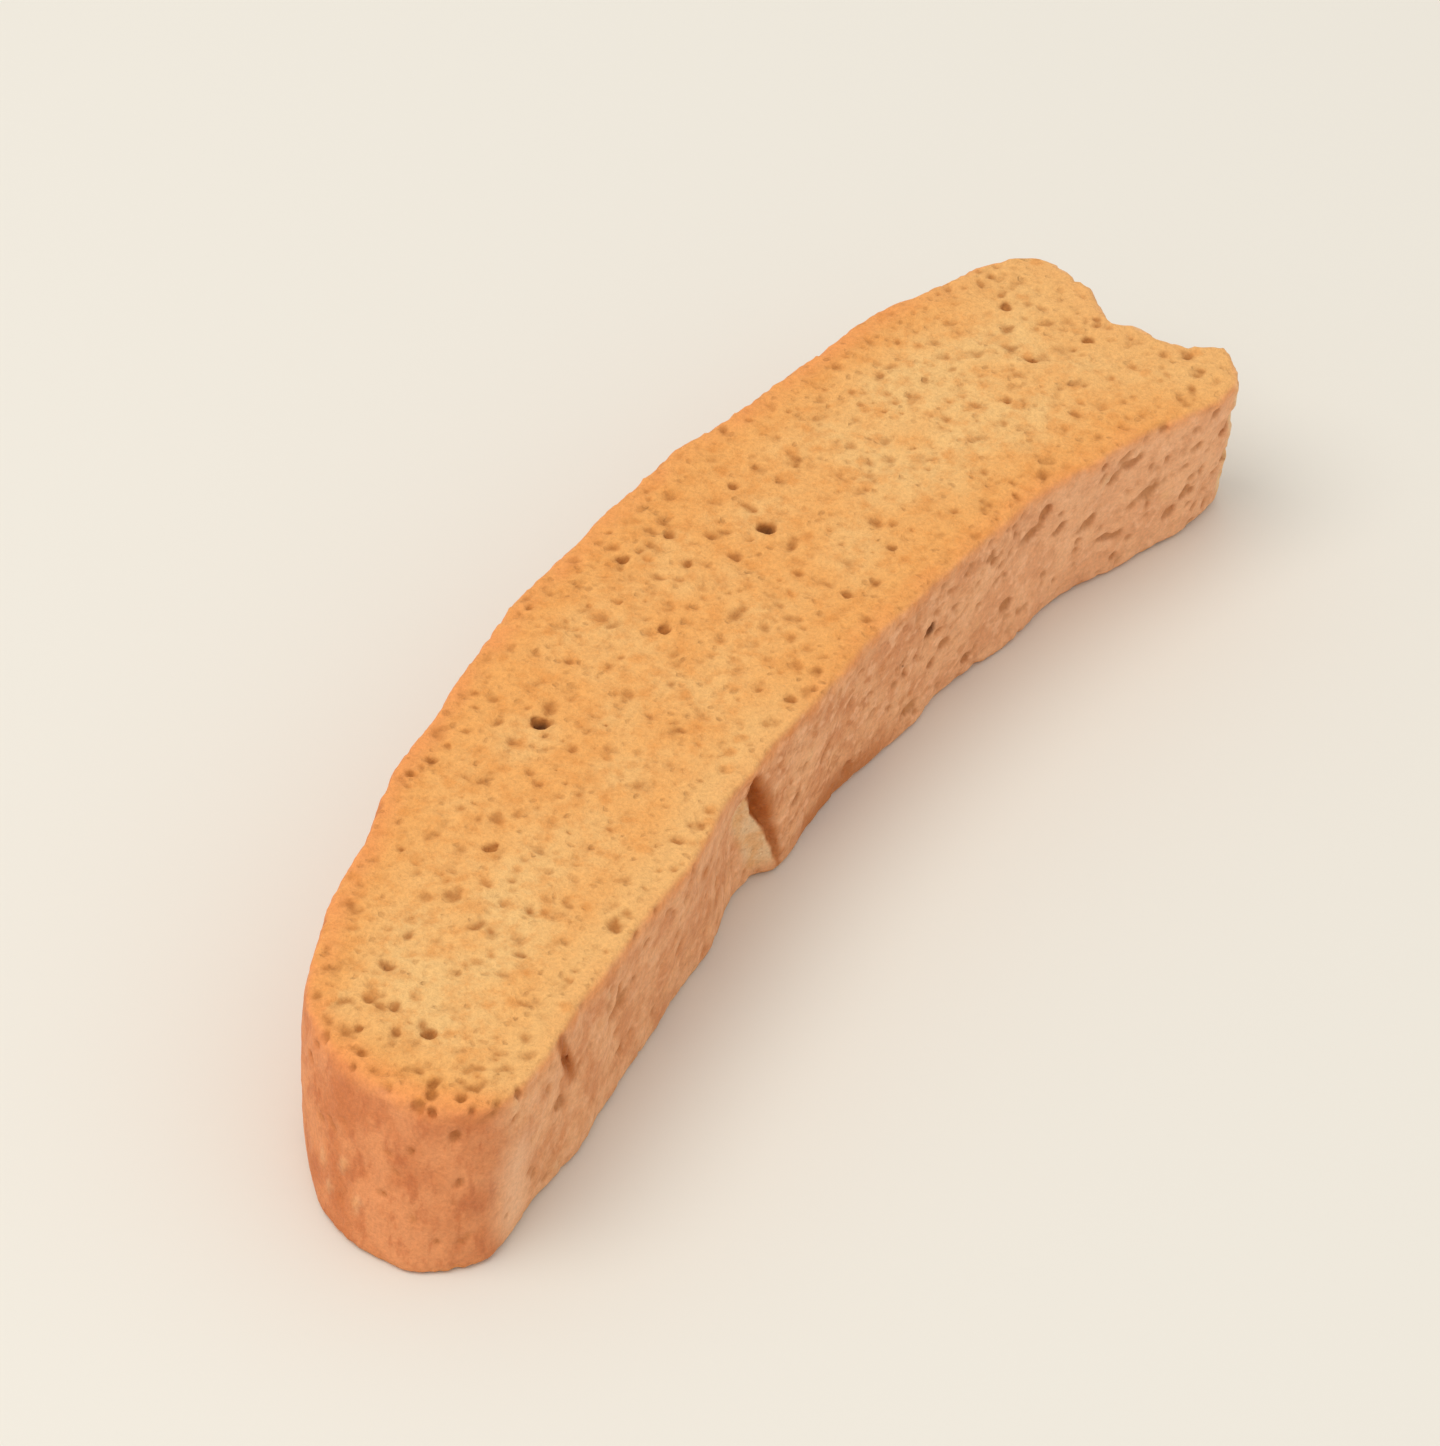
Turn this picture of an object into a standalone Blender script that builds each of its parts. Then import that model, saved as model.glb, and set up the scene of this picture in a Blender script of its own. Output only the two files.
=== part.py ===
"""A twice-baked rusk: one long, slightly bent slice of a domed loaf, lying on a cut face.

Both flat faces are cuts through the crumb. The near end at -X is the loaf's rounded end crust,
the side at +Y its domed crust, the side at -Y its base crust, and the far end at +X is broken.
Sizes below are in millimetres, and level runs from 0 at the bottom face to 1 at the top face."""

import math
import random

import bmesh
import bpy
from mathutils import Matrix, Vector, noise

MM = 0.001
SEED = 11

# The slice.
THICKNESS = 17.6
PLAN_MIDDLE = (-0.034, 0.317)
CELLS_ALONG = 72
CELLS_ACROSS = 15
WALL_LEVELS = (0.0, 0.035, 0.25, 0.5, 0.75, 0.965, 1.0)

# The domed side is one flat arc with a slight belly and a fuller shoulder near each end.
DOME_RADIUS = 148.0
DOME_X = 7.2
DOME_Y = 18.3
DOME_BELLY = 0.5
DOME_SHOULDERS = ((52.0, 10.0, 1.4), (-49.0, 8.0, 0.9))

# The base side runs nearly straight to a step and flares towards the broken end. Its foot is
# drawn in below, most of all at the broken end, apart from two lobes given by place, width and reach.
BASE_NEAR_Y = -10.6
BASE_NEAR_SLOPE = 0.113
BASE_FAR_Y = -10.2
FLARE_DEPTH = 8.2
FLARE_X = 56.0
FLARE_POWER = 3.2
UNDERCUT = 1.5
FAR_UNDERCUT = 1.1
FEET = ((16.5, 4.5, 1.2), (31.0, 5.0, 0.8))
STEP_TOP_X = -10.6
STEP_BOTTOM_X = -6.0
STEP_LIP = 1.5
CHIP_DEPTH = 1.4
CHIP_HALF_LENGTH = 4.2

# The rounded end leans outwards below.
NEAR_DOME_X = -57.2
NEAR_BASE_X = -58.0
NEAR_BULGE = 4.0
NEAR_LEAN = 2.2
NEAR_BULGE_LEAN = 0.8

# The broken end: bites and horns along it, each by place from dome to base, reach and width.
FAR_DOME_X = 64.2
FAR_BASE_X = 58.9
FAR_LEAN = 3.5
FAR_CRAGS = ((0.20, 0.6, 0.10), (0.45, -2.5, 0.08), (0.62, -1.0, 0.07), (0.87, 3.1, 0.09))

# Corners worn round: how many points each way, and how often they are relaxed.
NEAR_DOME_WEAR = (4, 4)
NEAR_BASE_WEAR = (3, 2)
FAR_WEAR = (3, 2)

# Rims and unevenness.
RIM_INSET = 0.55
FOOT_INSET = 0.45
RIM_CRUMBLE = 0.6
WALL_ROUGHNESS = 0.22
BREAK_ROUGHNESS = 0.7
TOP_ROLL = 0.18

# Pores: the largest of the top face by place and radius, then scattered ones.
LARGE_PORES = (
    (15.7, 5.8, 1.1),
    (-17.6, 7.4, 1.15),
    (-33.0, 1.9, 0.85),
    (-22.9, -10.2, 0.75),
    (-50.0, 0.6, 0.8),
    (-54.0, -6.6, 0.85),
    (44.2, -2.5, 0.75),
    (32.6, 12.2, 0.8),
    (55.0, -4.4, 0.8),
)
TOP_PORES = 62
BOTTOM_PORES = 26
WALL_PORES = 16
PORE_RADIUS = (0.42, 0.85)
PORE_DEPTH = 0.62
REST_CLEAR_RADIUS = 9.0

# Dents along the base side: place along, level, length and width, tipped towards the broken end.
WALL_DENTS = (
    (19.4, 0.60, 1.5, 1.1),
    (34.9, 0.76, 3.4, 0.9),
    (42.5, 0.52, 3.8, 1.0),
    (46.6, 0.80, 3.2, 0.9),
    (50.6, 0.42, 3.4, 1.0),
    (54.6, 0.70, 2.8, 1.1),
)
DENT_TIP_DEG = 38.0
CRACK_WIDTH = 0.8
CRACK_DEPTH = 1.5

CRUMB_COLOUR = (0.78, 0.43, 0.13, 1.0)
CRUMB_ROUGHNESS = 0.85


def ease(low, high, value):
    t = min(max((value - low) / (high - low), 0.0), 1.0)
    return t * t * (3.0 - 2.0 * t)


def bell(value, centre, width):
    return math.exp(-(((value - centre) / width) ** 2))


def mix(a, b, t):
    return a + (b - a) * t


def waver(x, level):
    """The slow unevenness of a long side."""
    return 0.24 * math.sin(x / 3.9 + 1.3 + 2.0 * level) + 0.17 * math.sin(x / 2.1 + 0.4 - 3.0 * level)


def step_x(level):
    return mix(STEP_BOTTOM_X, STEP_TOP_X, level)


def dome_y(x, level):
    arc = DOME_RADIUS - math.sqrt(DOME_RADIUS**2 - (x - DOME_X) ** 2)
    belly = DOME_BELLY * 4.0 * level * (1.0 - level)
    shoulders = sum(height * bell(x, place, width) for place, width, height in DOME_SHOULDERS)
    return DOME_Y - arc + shoulders + belly + waver(x, level)


def base_y(x, level):
    step = step_x(level)
    near = BASE_NEAR_Y - BASE_NEAR_SLOPE * max(-7.0 - x, 0.0)
    near += CHIP_DEPTH * bell(x, step - 4.5, CHIP_HALF_LENGTH) * bell(level, 0.45, 0.4)
    far = BASE_FAR_Y - FLARE_DEPTH * min((max(x, 0.0) / FLARE_X) ** FLARE_POWER, 1.0)
    far -= STEP_LIP * mix(1.0, 0.2, level) * (1.0 - ease(0.0, 13.0, x - step))
    undercut = (UNDERCUT * ease(-45.0, -5.0, x) + FAR_UNDERCUT * ease(46.0, 58.0, x)) * (1.0 - level)
    undercut -= (1.0 - level) ** 2 * sum(reach * bell(x, place, width) for place, width, reach in FEET)
    return mix(near, far, ease(-0.6, 0.6, x - step)) + undercut - 0.8 * waver(x + 20.0, level)


def side_point(u, side, level):
    """A point of a long side, from the rounded end at u = 0 to the broken end at u = 1."""
    lean = 1.0 - level
    if side == "dome":
        x = mix(NEAR_DOME_X - NEAR_LEAN * lean, FAR_DOME_X, u)
        return x, dome_y(x, level)
    x = mix(NEAR_BASE_X - 0.8 * NEAR_LEAN * lean, FAR_BASE_X + FAR_LEAN * lean, u)
    return x, base_y(x, level)


def end_point(v, end, level):
    """A point of an end, from the domed side at v = 0 to the base side at v = 1."""
    u = 0.0 if end == "near" else 1.0
    dome = side_point(u, "dome", level)
    base = side_point(u, "base", level)
    x = mix(dome[0], base[0], v)
    y = mix(dome[1], base[1], v)
    lean = 1.0 - level
    if end == "near":
        bulge = NEAR_BULGE + NEAR_BULGE_LEAN * lean
        return x - bulge * (1.0 - abs(2.0 * v**1.2 - 1.0) ** 2.6), y
    crags = sum(reach * bell(v, place, width) for place, reach, width in FAR_CRAGS)
    rough = noise.noise(Vector((v * 9.0, level * 5.0, 3.7)))
    edge = 4.0 * v * (1.0 - v)
    return x + crags * mix(0.55, 1.0, level) + BREAK_ROUGHNESS * rough * edge, y


def worn(ring, corner, reach, passes):
    """The ring with the points round one corner relaxed towards their neighbours."""
    count = len(ring)
    for _ in range(passes):
        before = list(ring)
        for i in range(corner - reach, corner + reach + 1):
            last, here, following = (before[(i + step) % count] for step in (-1, 0, 1))
            x = 0.5 * here[0] + 0.25 * (last[0] + following[0])
            y = 0.5 * here[1] + 0.25 * (last[1] + following[1])
            ring[i % count] = (x, y)
    return ring


def outline(level):
    """The closed outline at one level, from the near dome corner along the domed side."""
    ring = [side_point(i / CELLS_ALONG, "dome", level) for i in range(CELLS_ALONG)]
    ring += [end_point(j / CELLS_ACROSS, "far", level) for j in range(CELLS_ACROSS)]
    ring += [side_point(1.0 - i / CELLS_ALONG, "base", level) for i in range(CELLS_ALONG)]
    ring += [end_point(1.0 - j / CELLS_ACROSS, "near", level) for j in range(CELLS_ACROSS)]
    ring = worn(ring, 0, *NEAR_DOME_WEAR)
    ring = worn(ring, 2 * CELLS_ALONG + CELLS_ACROSS, *NEAR_BASE_WEAR)
    return worn(ring, CELLS_ALONG, *FAR_WEAR)


def inset_at(x, y, level):
    """How far the wall stands inside the outline: rounded rims that crumble, rough crust between."""
    rough = WALL_ROUGHNESS * noise.noise(Vector((x / 2.4, y / 2.4, level * 7.0)))
    crumble = RIM_CRUMBLE * abs(noise.noise(Vector((x / 1.3, y / 1.3, 11.0 + level))))
    if level == 1.0:
        return RIM_INSET + crumble
    if level > 0.9:
        return 0.5 * crumble + rough
    if level == 0.0:
        return FOOT_INSET + crumble
    return rough


def inset_ring(level):
    ring = outline(level)
    count = len(ring)
    moved = []
    for i, (x, y) in enumerate(ring):
        before = ring[i - 1]
        after = ring[(i + 1) % count]
        along = Vector((after[0] - before[0], after[1] - before[1])).normalized()
        inward = Vector((along.y, -along.x))
        depth = inset_at(x, y, level)
        moved.append((x + inward.x * depth, y + inward.y * depth))
    return moved


def top_height(x, y):
    roll = noise.noise(Vector((x / 9.0, y / 9.0, 5.0)))
    fine = noise.noise(Vector((x / 2.6, y / 2.6, 8.0)))
    return THICKNESS + TOP_ROLL * roll + 0.4 * TOP_ROLL * fine - TOP_ROLL


def top_grid(bm, ring):
    """Vertices across the top face, blended from its four edges."""
    total = len(ring)
    along, across = CELLS_ALONG, CELLS_ACROSS
    grid = [[None] * (across + 1) for _ in range(along + 1)]
    for i in range(along + 1):
        grid[i][0] = ring[i]
        grid[i][across] = ring[2 * along + across - i]
    for j in range(across + 1):
        grid[along][j] = ring[along + j]
        grid[0][j] = ring[(total - j) % total]
    for i in range(1, along):
        for j in range(1, across):
            u, v = i / along, j / across
            sides = grid[i][0].co * (1.0 - v) + grid[i][across].co * v
            ends = grid[0][j].co * (1.0 - u) + grid[along][j].co * u
            near = grid[0][0].co * (1.0 - v) + grid[0][across].co * v
            far = grid[along][0].co * (1.0 - v) + grid[along][across].co * v
            spot = sides + ends - near * (1.0 - u) - far * u
            spot.z = top_height(spot.x / MM, spot.y / MM) * MM
            grid[i][j] = bm.verts.new(spot)
    return grid


def build_slice():
    bm = bmesh.new()
    rings = []
    for level in WALL_LEVELS:
        ring = []
        for x, y in inset_ring(level):
            height = level * THICKNESS
            if level == 1.0:
                height = top_height(x, y) - 0.25
            ring.append(bm.verts.new((x * MM, y * MM, height * MM)))
        rings.append(ring)
    count = len(rings[0])
    for lower, upper in zip(rings, rings[1:]):
        for i in range(count):
            after = (i + 1) % count
            bm.faces.new((lower[i], upper[i], upper[after], lower[after]))
    bm.faces.new(rings[0])
    grid = top_grid(bm, rings[-1])
    for i in range(CELLS_ALONG):
        for j in range(CELLS_ACROSS):
            bm.faces.new((grid[i][j], grid[i][j + 1], grid[i + 1][j + 1], grid[i + 1][j]))
    bmesh.ops.recalc_face_normals(bm, faces=bm.faces)
    mesh = bpy.data.meshes.new("rusk")
    bm.to_mesh(mesh)
    bm.free()
    return mesh


def add_pore(bm, centre, turn, radii):
    """One low-sided ellipsoid; its third radius runs into the surface."""
    scale = Matrix.Diagonal((*[radius * MM for radius in radii], 1.0))
    place = Matrix.Translation(Vector(centre) * MM) @ turn.to_4x4() @ scale
    bmesh.ops.create_uvsphere(bm, u_segments=7, v_segments=4, radius=1.0, matrix=place)


def clear_of(spot, radius, taken):
    return all((spot - other).length > radius + size + 0.35 for other, size in taken)


def face_spot(rng, level):
    """A place inside a cut face, at least a pore's width from its rim."""
    u = rng.uniform(0.015, 0.985)
    v = rng.uniform(0.07, 0.93)
    dome = side_point(u, "dome", level)
    base = side_point(u, "base", level)
    return Vector((mix(dome[0], base[0], v), mix(dome[1], base[1], v)))


def face_pores(bm, rng, level, count, taken):
    height = level * THICKNESS
    tries = 0
    while count and tries < 5000:
        tries += 1
        radius = rng.uniform(*PORE_RADIUS) * rng.uniform(0.75, 1.0)
        stretch = rng.uniform(1.0, 1.5)
        spot = face_spot(rng, level)
        if level == 0.0 and spot.length < REST_CLEAR_RADIUS:
            continue
        if clear_of(spot, radius * stretch, taken):
            turn = Matrix.Rotation(rng.uniform(0.0, math.pi), 3, "Z")
            add_pore(bm, (spot.x, spot.y, height), turn, (radius * stretch, radius, radius * PORE_DEPTH * 2.0))
            taken.append((spot, radius * stretch))
            count -= 1


def wall_frame(x, side, level, tip):
    """The place and turn of a dent in a long side: its third axis points out of the wall."""
    curve = dome_y if side == "dome" else base_y
    slope = (curve(x + 3.0, level) - curve(x - 3.0, level)) / 6.0
    outward = Vector((-slope, 1.0, 0.0)) if side == "dome" else Vector((slope, -1.0, 0.0))
    outward.normalize()
    up = Vector((0.0, 0.0, 1.0))
    along = up.cross(outward)
    first = along * math.cos(tip) + up * math.sin(tip)
    second = outward.cross(first)
    turn = Matrix((first, second, outward)).transposed()
    return (x, curve(x, level), level * THICKNESS), turn


def wall_pores(bm, rng):
    taken = [(Vector((x, level * THICKNESS)), 3.0) for x, level, _, _ in WALL_DENTS]
    taken.append((Vector((STEP_TOP_X, 0.6 * THICKNESS)), 6.0))
    for side in ("base", "dome"):
        count = WALL_PORES
        while count:
            x = rng.uniform(-52.0, 54.0)
            level = rng.uniform(0.16, 0.86)
            radius = rng.uniform(0.4, 0.7)
            spot = Vector((x, level * THICKNESS))
            if clear_of(spot, radius + 0.8, taken):
                place, turn = wall_frame(x, side, level, rng.uniform(0.0, math.pi))
                add_pore(bm, place, turn, (1.3 * radius, radius, 0.8 * radius))
                taken.append((spot, radius))
                count -= 1
        taken = []


def build_cutters():
    rng = random.Random(SEED)
    bm = bmesh.new()
    taken = []
    for x, y, radius in LARGE_PORES:
        add_pore(bm, (x, y, THICKNESS), Matrix.Rotation(0.5, 3, "Z"), (1.15 * radius, radius, 1.3 * radius))
        taken.append((Vector((x, y)), 1.15 * radius))
    face_pores(bm, rng, 1.0, TOP_PORES, taken)
    face_pores(bm, rng, 0.0, BOTTOM_PORES, [])
    wall_pores(bm, rng)
    tip = math.radians(DENT_TIP_DEG)
    for x, level, length, width in WALL_DENTS:
        place, turn = wall_frame(x, "base", level, -tip)
        add_pore(bm, place, turn, (0.5 * length, 0.5 * width, 0.75))
    crack_length = 0.42 * THICKNESS
    lean = math.atan2(THICKNESS, STEP_TOP_X - STEP_BOTTOM_X)
    place, turn = wall_frame(step_x(0.72), "base", 0.72, lean)
    add_pore(bm, place, turn, (crack_length, CRACK_WIDTH, CRACK_DEPTH))
    bmesh.ops.recalc_face_normals(bm, faces=bm.faces)
    mesh = bpy.data.meshes.new("pore_cutters")
    bm.to_mesh(mesh)
    bm.free()
    return mesh


def centred(mesh):
    """The mesh moved so that the slice's plan is centred on the origin."""
    mesh.transform(Matrix.Translation((-PLAN_MIDDLE[0] * MM, -PLAN_MIDDLE[1] * MM, 0.0)))
    return mesh


for old in list(bpy.data.objects):
    bpy.data.objects.remove(old, do_unlink=True)

crumb = bpy.data.materials.new("rusk_crumb")
crumb.use_nodes = True
shader = crumb.node_tree.nodes["Principled BSDF"]
shader.inputs["Base Color"].default_value = CRUMB_COLOUR
shader.inputs["Roughness"].default_value = CRUMB_ROUGHNESS
shader.inputs["Metallic"].default_value = 0.0

rusk = bpy.data.objects.new("rusk", centred(build_slice()))
rusk.data.materials.append(crumb)
bpy.context.scene.collection.objects.link(rusk)

cutters = bpy.data.objects.new("pore_cutters", centred(build_cutters()))
cutters.hide_render = True
cutters.display_type = "WIRE"
bpy.context.scene.collection.objects.link(cutters)

pores = rusk.modifiers.new("pores", "BOOLEAN")
pores.operation = "DIFFERENCE"
pores.solver = "EXACT"
pores.object = cutters
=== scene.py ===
"""The look of one twice-baked rusk: a bent slice with pitted cut faces, browned crusts and a broken end.

Lengths are in millimetres until the mesh is written. The shape follows the same named sizes as the
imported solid, and adds the crumb's bubbles, the crumbled rims and the roughness of the crusts."""

import math

import bpy
import numpy as np
from mathutils import Matrix, Vector


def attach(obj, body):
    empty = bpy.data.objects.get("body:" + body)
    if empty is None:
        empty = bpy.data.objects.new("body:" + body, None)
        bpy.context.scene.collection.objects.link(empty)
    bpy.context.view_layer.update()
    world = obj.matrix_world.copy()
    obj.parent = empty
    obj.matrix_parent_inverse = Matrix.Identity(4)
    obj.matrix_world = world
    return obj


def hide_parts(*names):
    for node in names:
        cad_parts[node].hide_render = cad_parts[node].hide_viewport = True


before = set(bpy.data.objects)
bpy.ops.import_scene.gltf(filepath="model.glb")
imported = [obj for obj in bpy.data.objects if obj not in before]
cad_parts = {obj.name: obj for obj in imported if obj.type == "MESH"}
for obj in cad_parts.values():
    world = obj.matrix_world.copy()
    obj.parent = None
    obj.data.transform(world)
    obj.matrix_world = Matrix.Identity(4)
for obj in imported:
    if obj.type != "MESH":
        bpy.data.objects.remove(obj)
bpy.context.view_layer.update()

MM = 0.001
MOST_TRIANGLES = 190_000
# The lowest any point may lie, so that the rusk stands on the floor.
LEAST_HEIGHT = 0.01
# The field's grid, and how far from the surface the roughness is worked out.
PITCH = 0.27
FIELD_LOW = (-66.4, -21.2, -1.6)
FIELD_HIGH = (66.4, 21.2, 19.4)
BAND = 1.9
SHAPE_SEED = 21
GRAIN_SEED = 5

# The slice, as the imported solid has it.
THICKNESS = 17.6
PLAN_MIDDLE = (-0.034, 0.317)
CELLS_ALONG = 72
CELLS_ACROSS = 15
DOME_RADIUS = 148.0
DOME_X = 7.2
DOME_Y = 18.3
DOME_BELLY = 0.5
# Place along, width and height.
DOME_SHOULDERS = ((52.0, 10.0, 1.4), (-49.0, 8.0, 0.9))
BASE_NEAR_Y = -10.6
BASE_NEAR_SLOPE = 0.113
BASE_FAR_Y = -10.2
FLARE_DEPTH = 8.2
FLARE_X = 56.0
FLARE_POWER = 3.2
UNDERCUT = 1.5
FAR_UNDERCUT = 1.1
# Place along, width and reach.
FEET = ((16.5, 4.5, 1.2), (31.0, 5.0, 0.8))
STEP_TOP_X = -10.6
STEP_BOTTOM_X = -6.0
STEP_LIP = 1.5
CHIP_DEPTH = 1.4
CHIP_HALF_LENGTH = 4.2
NEAR_DOME_X = -57.2
NEAR_BASE_X = -58.0
NEAR_BULGE = 4.0
NEAR_LEAN = 2.2
NEAR_BULGE_LEAN = 0.8
FAR_DOME_X = 64.2
FAR_BASE_X = 58.9
FAR_LEAN = 3.5
# Place across as a share, reach along the slice, and width as a share.
FAR_CRAGS = ((0.20, 0.6, 0.10), (0.45, -2.5, 0.08), (0.62, -1.0, 0.07), (0.87, 3.1, 0.09))
# Outline points worn on each side of a corner, and how many times.
NEAR_DOME_WEAR = (4, 4)
NEAR_BASE_WEAR = (3, 2)
FAR_WEAR = (3, 2)
TOP_ROLL = 0.18

# What the scene adds: the levels its outline is worked out at, how far its walls swell to make up
# for their roughness, the rounding of its rims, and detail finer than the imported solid's.
LEVELS = (0.0, 0.12, 0.3, 0.5, 0.7, 0.88, 1.0)
WALL_SWELL = 0.15
BREAK_SWELL = 0.25
TOP_ROUND = 0.9
UNDER_ROUND = 1.0
COARSE_GRAIN = 4.4
MIDDLE_GRAIN = 1.6
FINE_GRAIN = 0.75
CRACK_LEAST_WIDTH = 0.12
CRACK_GAPE = 0.5
# A distance that stands for no crack near.
NO_CRACK = 9.0
# Scattered pits of the cut faces: spacing, least and most radius, depth as a share, share of places.
CUT_FACE_PITS = ((2.6, (0.4, 0.78), 0.5, 0.85), (1.5, (0.22, 0.4), 0.8, 0.65))
UNDER_PORE_SPACING = 9.0
# Spacing of the places tried for bubbles: outline points round the rusk, and millimetres up it.
BREAK_SPACING = (0.48, 1.4)
WALL_SPACING = (0.62, 2.1)
RIM_SPACING = 0.5
END_RIM_SPACING = 0.42
# Large pores of the top face, by place and radius, as the photographed one has them.
LARGE_PORES = (
    (16.0, 5.6, 1.0),
    (13.7, 5.9, 0.55),
    (-17.6, 7.4, 1.05),
    (-33.0, 1.9, 0.8),
    (-22.9, -10.2, 0.75),
    (-49.6, 0.7, 0.72),
    (-53.8, -2.4, 0.7),
    (-54.6, -6.5, 0.82),
    (-54.2, 0.0, 0.7),
    (-62.2, -10.4, 0.8),
    (44.2, -2.5, 0.6),
    (50.6, -1.3, 0.75),
    (56.2, -3.9, 0.8),
    (55.8, 4.5, 0.8),
    (55.8, -15.3, 0.62),
    (53.9, -18.6, 0.75),
    (4.6, 13.4, 0.75),
    (9.9, 12.0, 0.7),
    (7.7, 8.7, 0.72),
    (-1.0, 5.4, 0.78),
    (19.1, 11.2, 0.7),
    (12.7, -5.1, 0.8),
    (-2.1, -8.5, 0.62),
)
# Pits of the rounded end's rim, by place round the outline, level and radius.
RIM_PITS = (
    (163.3, 0.96, 0.6),
    (162.4, 0.94, 0.42),
    (161.0, 0.81, 0.55),
    (160.3, 0.97, 0.42),
    (158.9, 0.97, 0.5),
    (157.4, 0.92, 0.55),
    (165.6, 0.98, 0.45),
    (168.4, 0.98, 0.5),
    (171.2, 0.97, 0.5),
)
# Dents of the base side: place along, level, length and width.
WALL_DENTS = (
    (61.0, 0.39, 1.3, 1.2),
    (56.1, 0.88, 1.3, 1.1),
    (54.9, 0.35, 1.6, 1.1),
    (53.2, 0.24, 1.5, 1.2),
    (49.9, 0.50, 1.8, 1.1),
    (49.7, 0.95, 1.0, 0.9),
    (47.3, 0.80, 2.4, 1.0),
    (45.9, 0.30, 2.4, 0.9),
    (45.5, 0.87, 1.6, 0.9),
    (44.6, 0.75, 1.3, 1.0),
    (42.8, 0.50, 2.0, 1.1),
    (38.8, 0.60, 1.9, 1.0),
    (36.3, 0.80, 1.7, 1.3),
    (34.4, 0.70, 2.0, 1.2),
    (32.2, 0.31, 1.5, 1.2),
    (27.6, 0.81, 1.3, 1.0),
    (26.3, 0.16, 1.4, 1.0),
    (22.0, 0.41, 1.4, 1.1),
    (20.4, 0.34, 1.0, 0.8),
    (17.3, 0.14, 1.9, 1.2),
    (7.5, 0.13, 1.5, 1.1),
    (2.6, 0.48, 2.0, 1.2),
    (-3.2, 0.40, 1.0, 0.8),
    (-37.2, 0.60, 3.2, 1.6),
    (-47.8, 0.50, 2.6, 1.5),
)
# The deep hole of the base side: place along, level and radius; then its tip and depth.
SPECK_HOLE = (19.4, 0.61, 0.9)
SPECK_TIP = 0.2
SPECK_DEPTH = 1.8
# A short crack near the rounded end: place along, lowest and highest level, and its lean.
CORNER_CRACK = (-48.7, 0.62, 0.98)
CORNER_CRACK_LEAN = 7.5
# Where that crack runs on over the rim: how far inwards, how it turns in plan, and its radii.
RIM_CRACK_SHIFT = 0.5
RIM_CRACK_TURN = 0.62
RIM_CRACK_RADII = (1.1, 0.26, 0.4)
# Darker smudges of the base side: place along, level, reach and strength.
SMUDGES = (
    (-48.3, 0.54, 1.6, 0.3),
    (-37.6, 0.60, 1.9, 0.34),
    (-33.5, 0.42, 1.5, 0.2),
    (-20.5, 0.70, 2.2, 0.3),
    (-17.2, 0.32, 2.4, 0.3),
    (-27.0, 0.16, 2.6, 0.24),
)
# Small crumbs on the rounded end, by place round the outline and level.
END_CRUMBS = ((168.2, 0.42), (169.6, 0.22), (167.0, 0.26), (170.4, 0.34), (157.6, 0.90))
# A painted highlight: a pale patch down the walls at the rounded end's corner on the base side.
HIGHLIGHT_AT = (-55.4, -16.4)
HIGHLIGHT_REACH = 2.3

# Colours, as sRGB from 0 to 255.
CRUMB_GOLD = (240, 170, 94)
CRUMB_PALE = (241, 190, 121)
CRUMB_FLECK = (222, 142, 66)
# Pit colours: a brown tint and painted shade in the hollows.
PIT_BROWN_AND_SHADE = (172, 104, 42)
PIT_DARK_AND_SHADE = (84, 44, 14)
RIM_ORANGE = (242, 156, 88)
BASE_CRUST = (242, 178, 126)
BASE_CRUST_DARK = (222, 148, 96)
BASE_CRUST_STAIN = (194, 114, 54)
BASE_CRUST_LIGHT = (255, 194, 146)
# Brown of the cracks: partly their colour, partly painted shade.
CRACK_BROWN_AND_SHADE = (168, 84, 6)
END_CRUST = (230, 150, 96)
END_CRUST_DARK = (208, 122, 70)
END_CRUST_RED = (190, 100, 52)
# The painted highlight's pale colour.
HIGHLIGHT_PALE = (250, 196, 152)
FRESH_CRUMB = (255, 218, 170)
FLOOR_WHITE = (226, 222, 212)
CRUMB_ROUGHNESS = 0.88
FLOOR_ROUGHNESS = 0.6
SPECULAR = 0.3

# The camera, in millimetres from the rusk's middle on the floor, and how it is turned.
CAMERA_AT = (-400.1, -233.2, 422.4)
CAMERA_LOOK = (0.60026, 0.43792, -0.66926)
CAMERA_RIGHT = (0.58938, -0.80786, 0.0)
CAMERA_AIM = (1.1, 0.0, 7.5)
LENS_MM = 176.0
SENSOR_MM = 36.0

# Light and floor, in metres and watts.
FLOOR_HALF = 3.0
SKY = (1.0, 0.985, 0.965, 1.0)
SKY_STRENGTH = 0.82
KEY_TOWARD = (-0.43, 0.25, 0.87)
KEY_DISTANCE = 1.1
KEY_SIZE = 0.85
KEY_POWER = 5.2
KEY_COLOUR = (1.0, 0.97, 0.93)

CUBE_CORNERS = np.array([[i & 1, i >> 1 & 1, i >> 2 & 1] for i in range(8)])


def ease(low, high, value):
    """A smooth climb from 0 at low to 1 at high; low may be the larger."""
    t = np.clip((np.asarray(value, float) - low) / (high - low), 0.0, 1.0)
    return t * t * (3.0 - 2.0 * t)


def bell(value, centre, width):
    return np.exp(-(((value - centre) / width) ** 2))


def mix(a, b, t):
    return a + (b - a) * t


def smooth_max(a, b, width):
    """The larger of two fields, rounded where they meet."""
    overlap = np.clip(width - np.abs(a - b), 0.0, None) / width
    return np.maximum(a, b) + overlap * overlap * width * 0.25


# Gradient noise on a repeating lattice.
LATTICE = 64
lattice_rng = np.random.default_rng(GRAIN_SEED)
gradients = lattice_rng.normal(size=(LATTICE, LATTICE, LATTICE, 3)).astype(np.float32)
gradients /= np.linalg.norm(gradients, axis=3, keepdims=True)


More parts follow.
